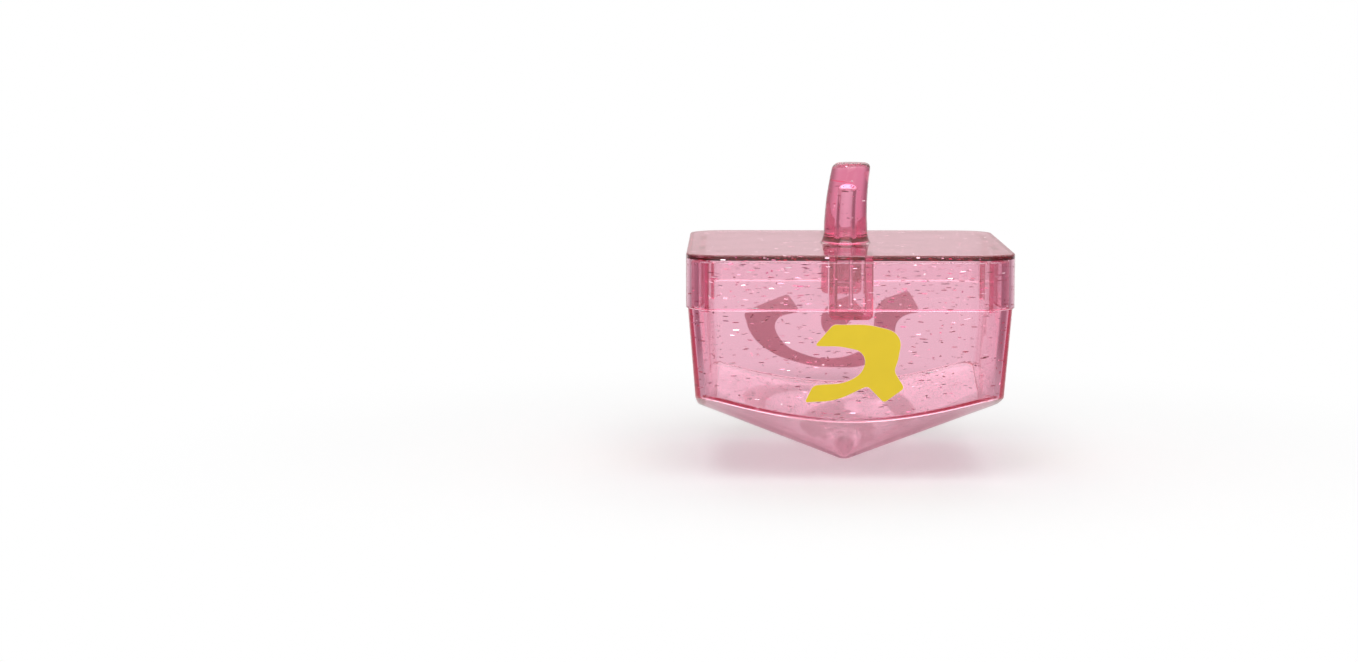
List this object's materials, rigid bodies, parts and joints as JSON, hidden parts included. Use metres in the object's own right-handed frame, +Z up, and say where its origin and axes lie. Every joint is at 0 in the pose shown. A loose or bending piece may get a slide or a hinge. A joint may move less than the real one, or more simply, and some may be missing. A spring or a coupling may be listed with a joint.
{
  "type": "fillable dreidel",
  "caption": "Hollow four-sided spinning top: a clear tinted box with a cone-shaped bottom and blunt tip, closed by a push-on lid with a finger stem and grip tabs inside.",
  "frame": {"origin": "the middle of the blunt tip that the top spins on", "axes": "+Z up along the stem, the spinning axis; -Y is the face towards the camera, square to a side of the box; the lid's channel tabs are on -Y and +Y and its pairs of plain tabs on -X and +X"},
  "size_m": [0.064, 0.064, 0.0606],
  "materials": {
    "box_plastic": "glossy, clear with fine glitter",
    "lid_plastic": "glossy, clear with fine glitter",
    "printed_ink": "flat screen print"
  },
  "bodies": {
    "box": {"box": "box_plastic"},
    "lid": {"lid": "lid_plastic"}
  },
  "joints": [
    {"name": "lid_lift", "type": "slide", "parent": "box", "child": "lid", "axis": [0, 0, 1], "range_m": [0, 0.04]}
  ]
}
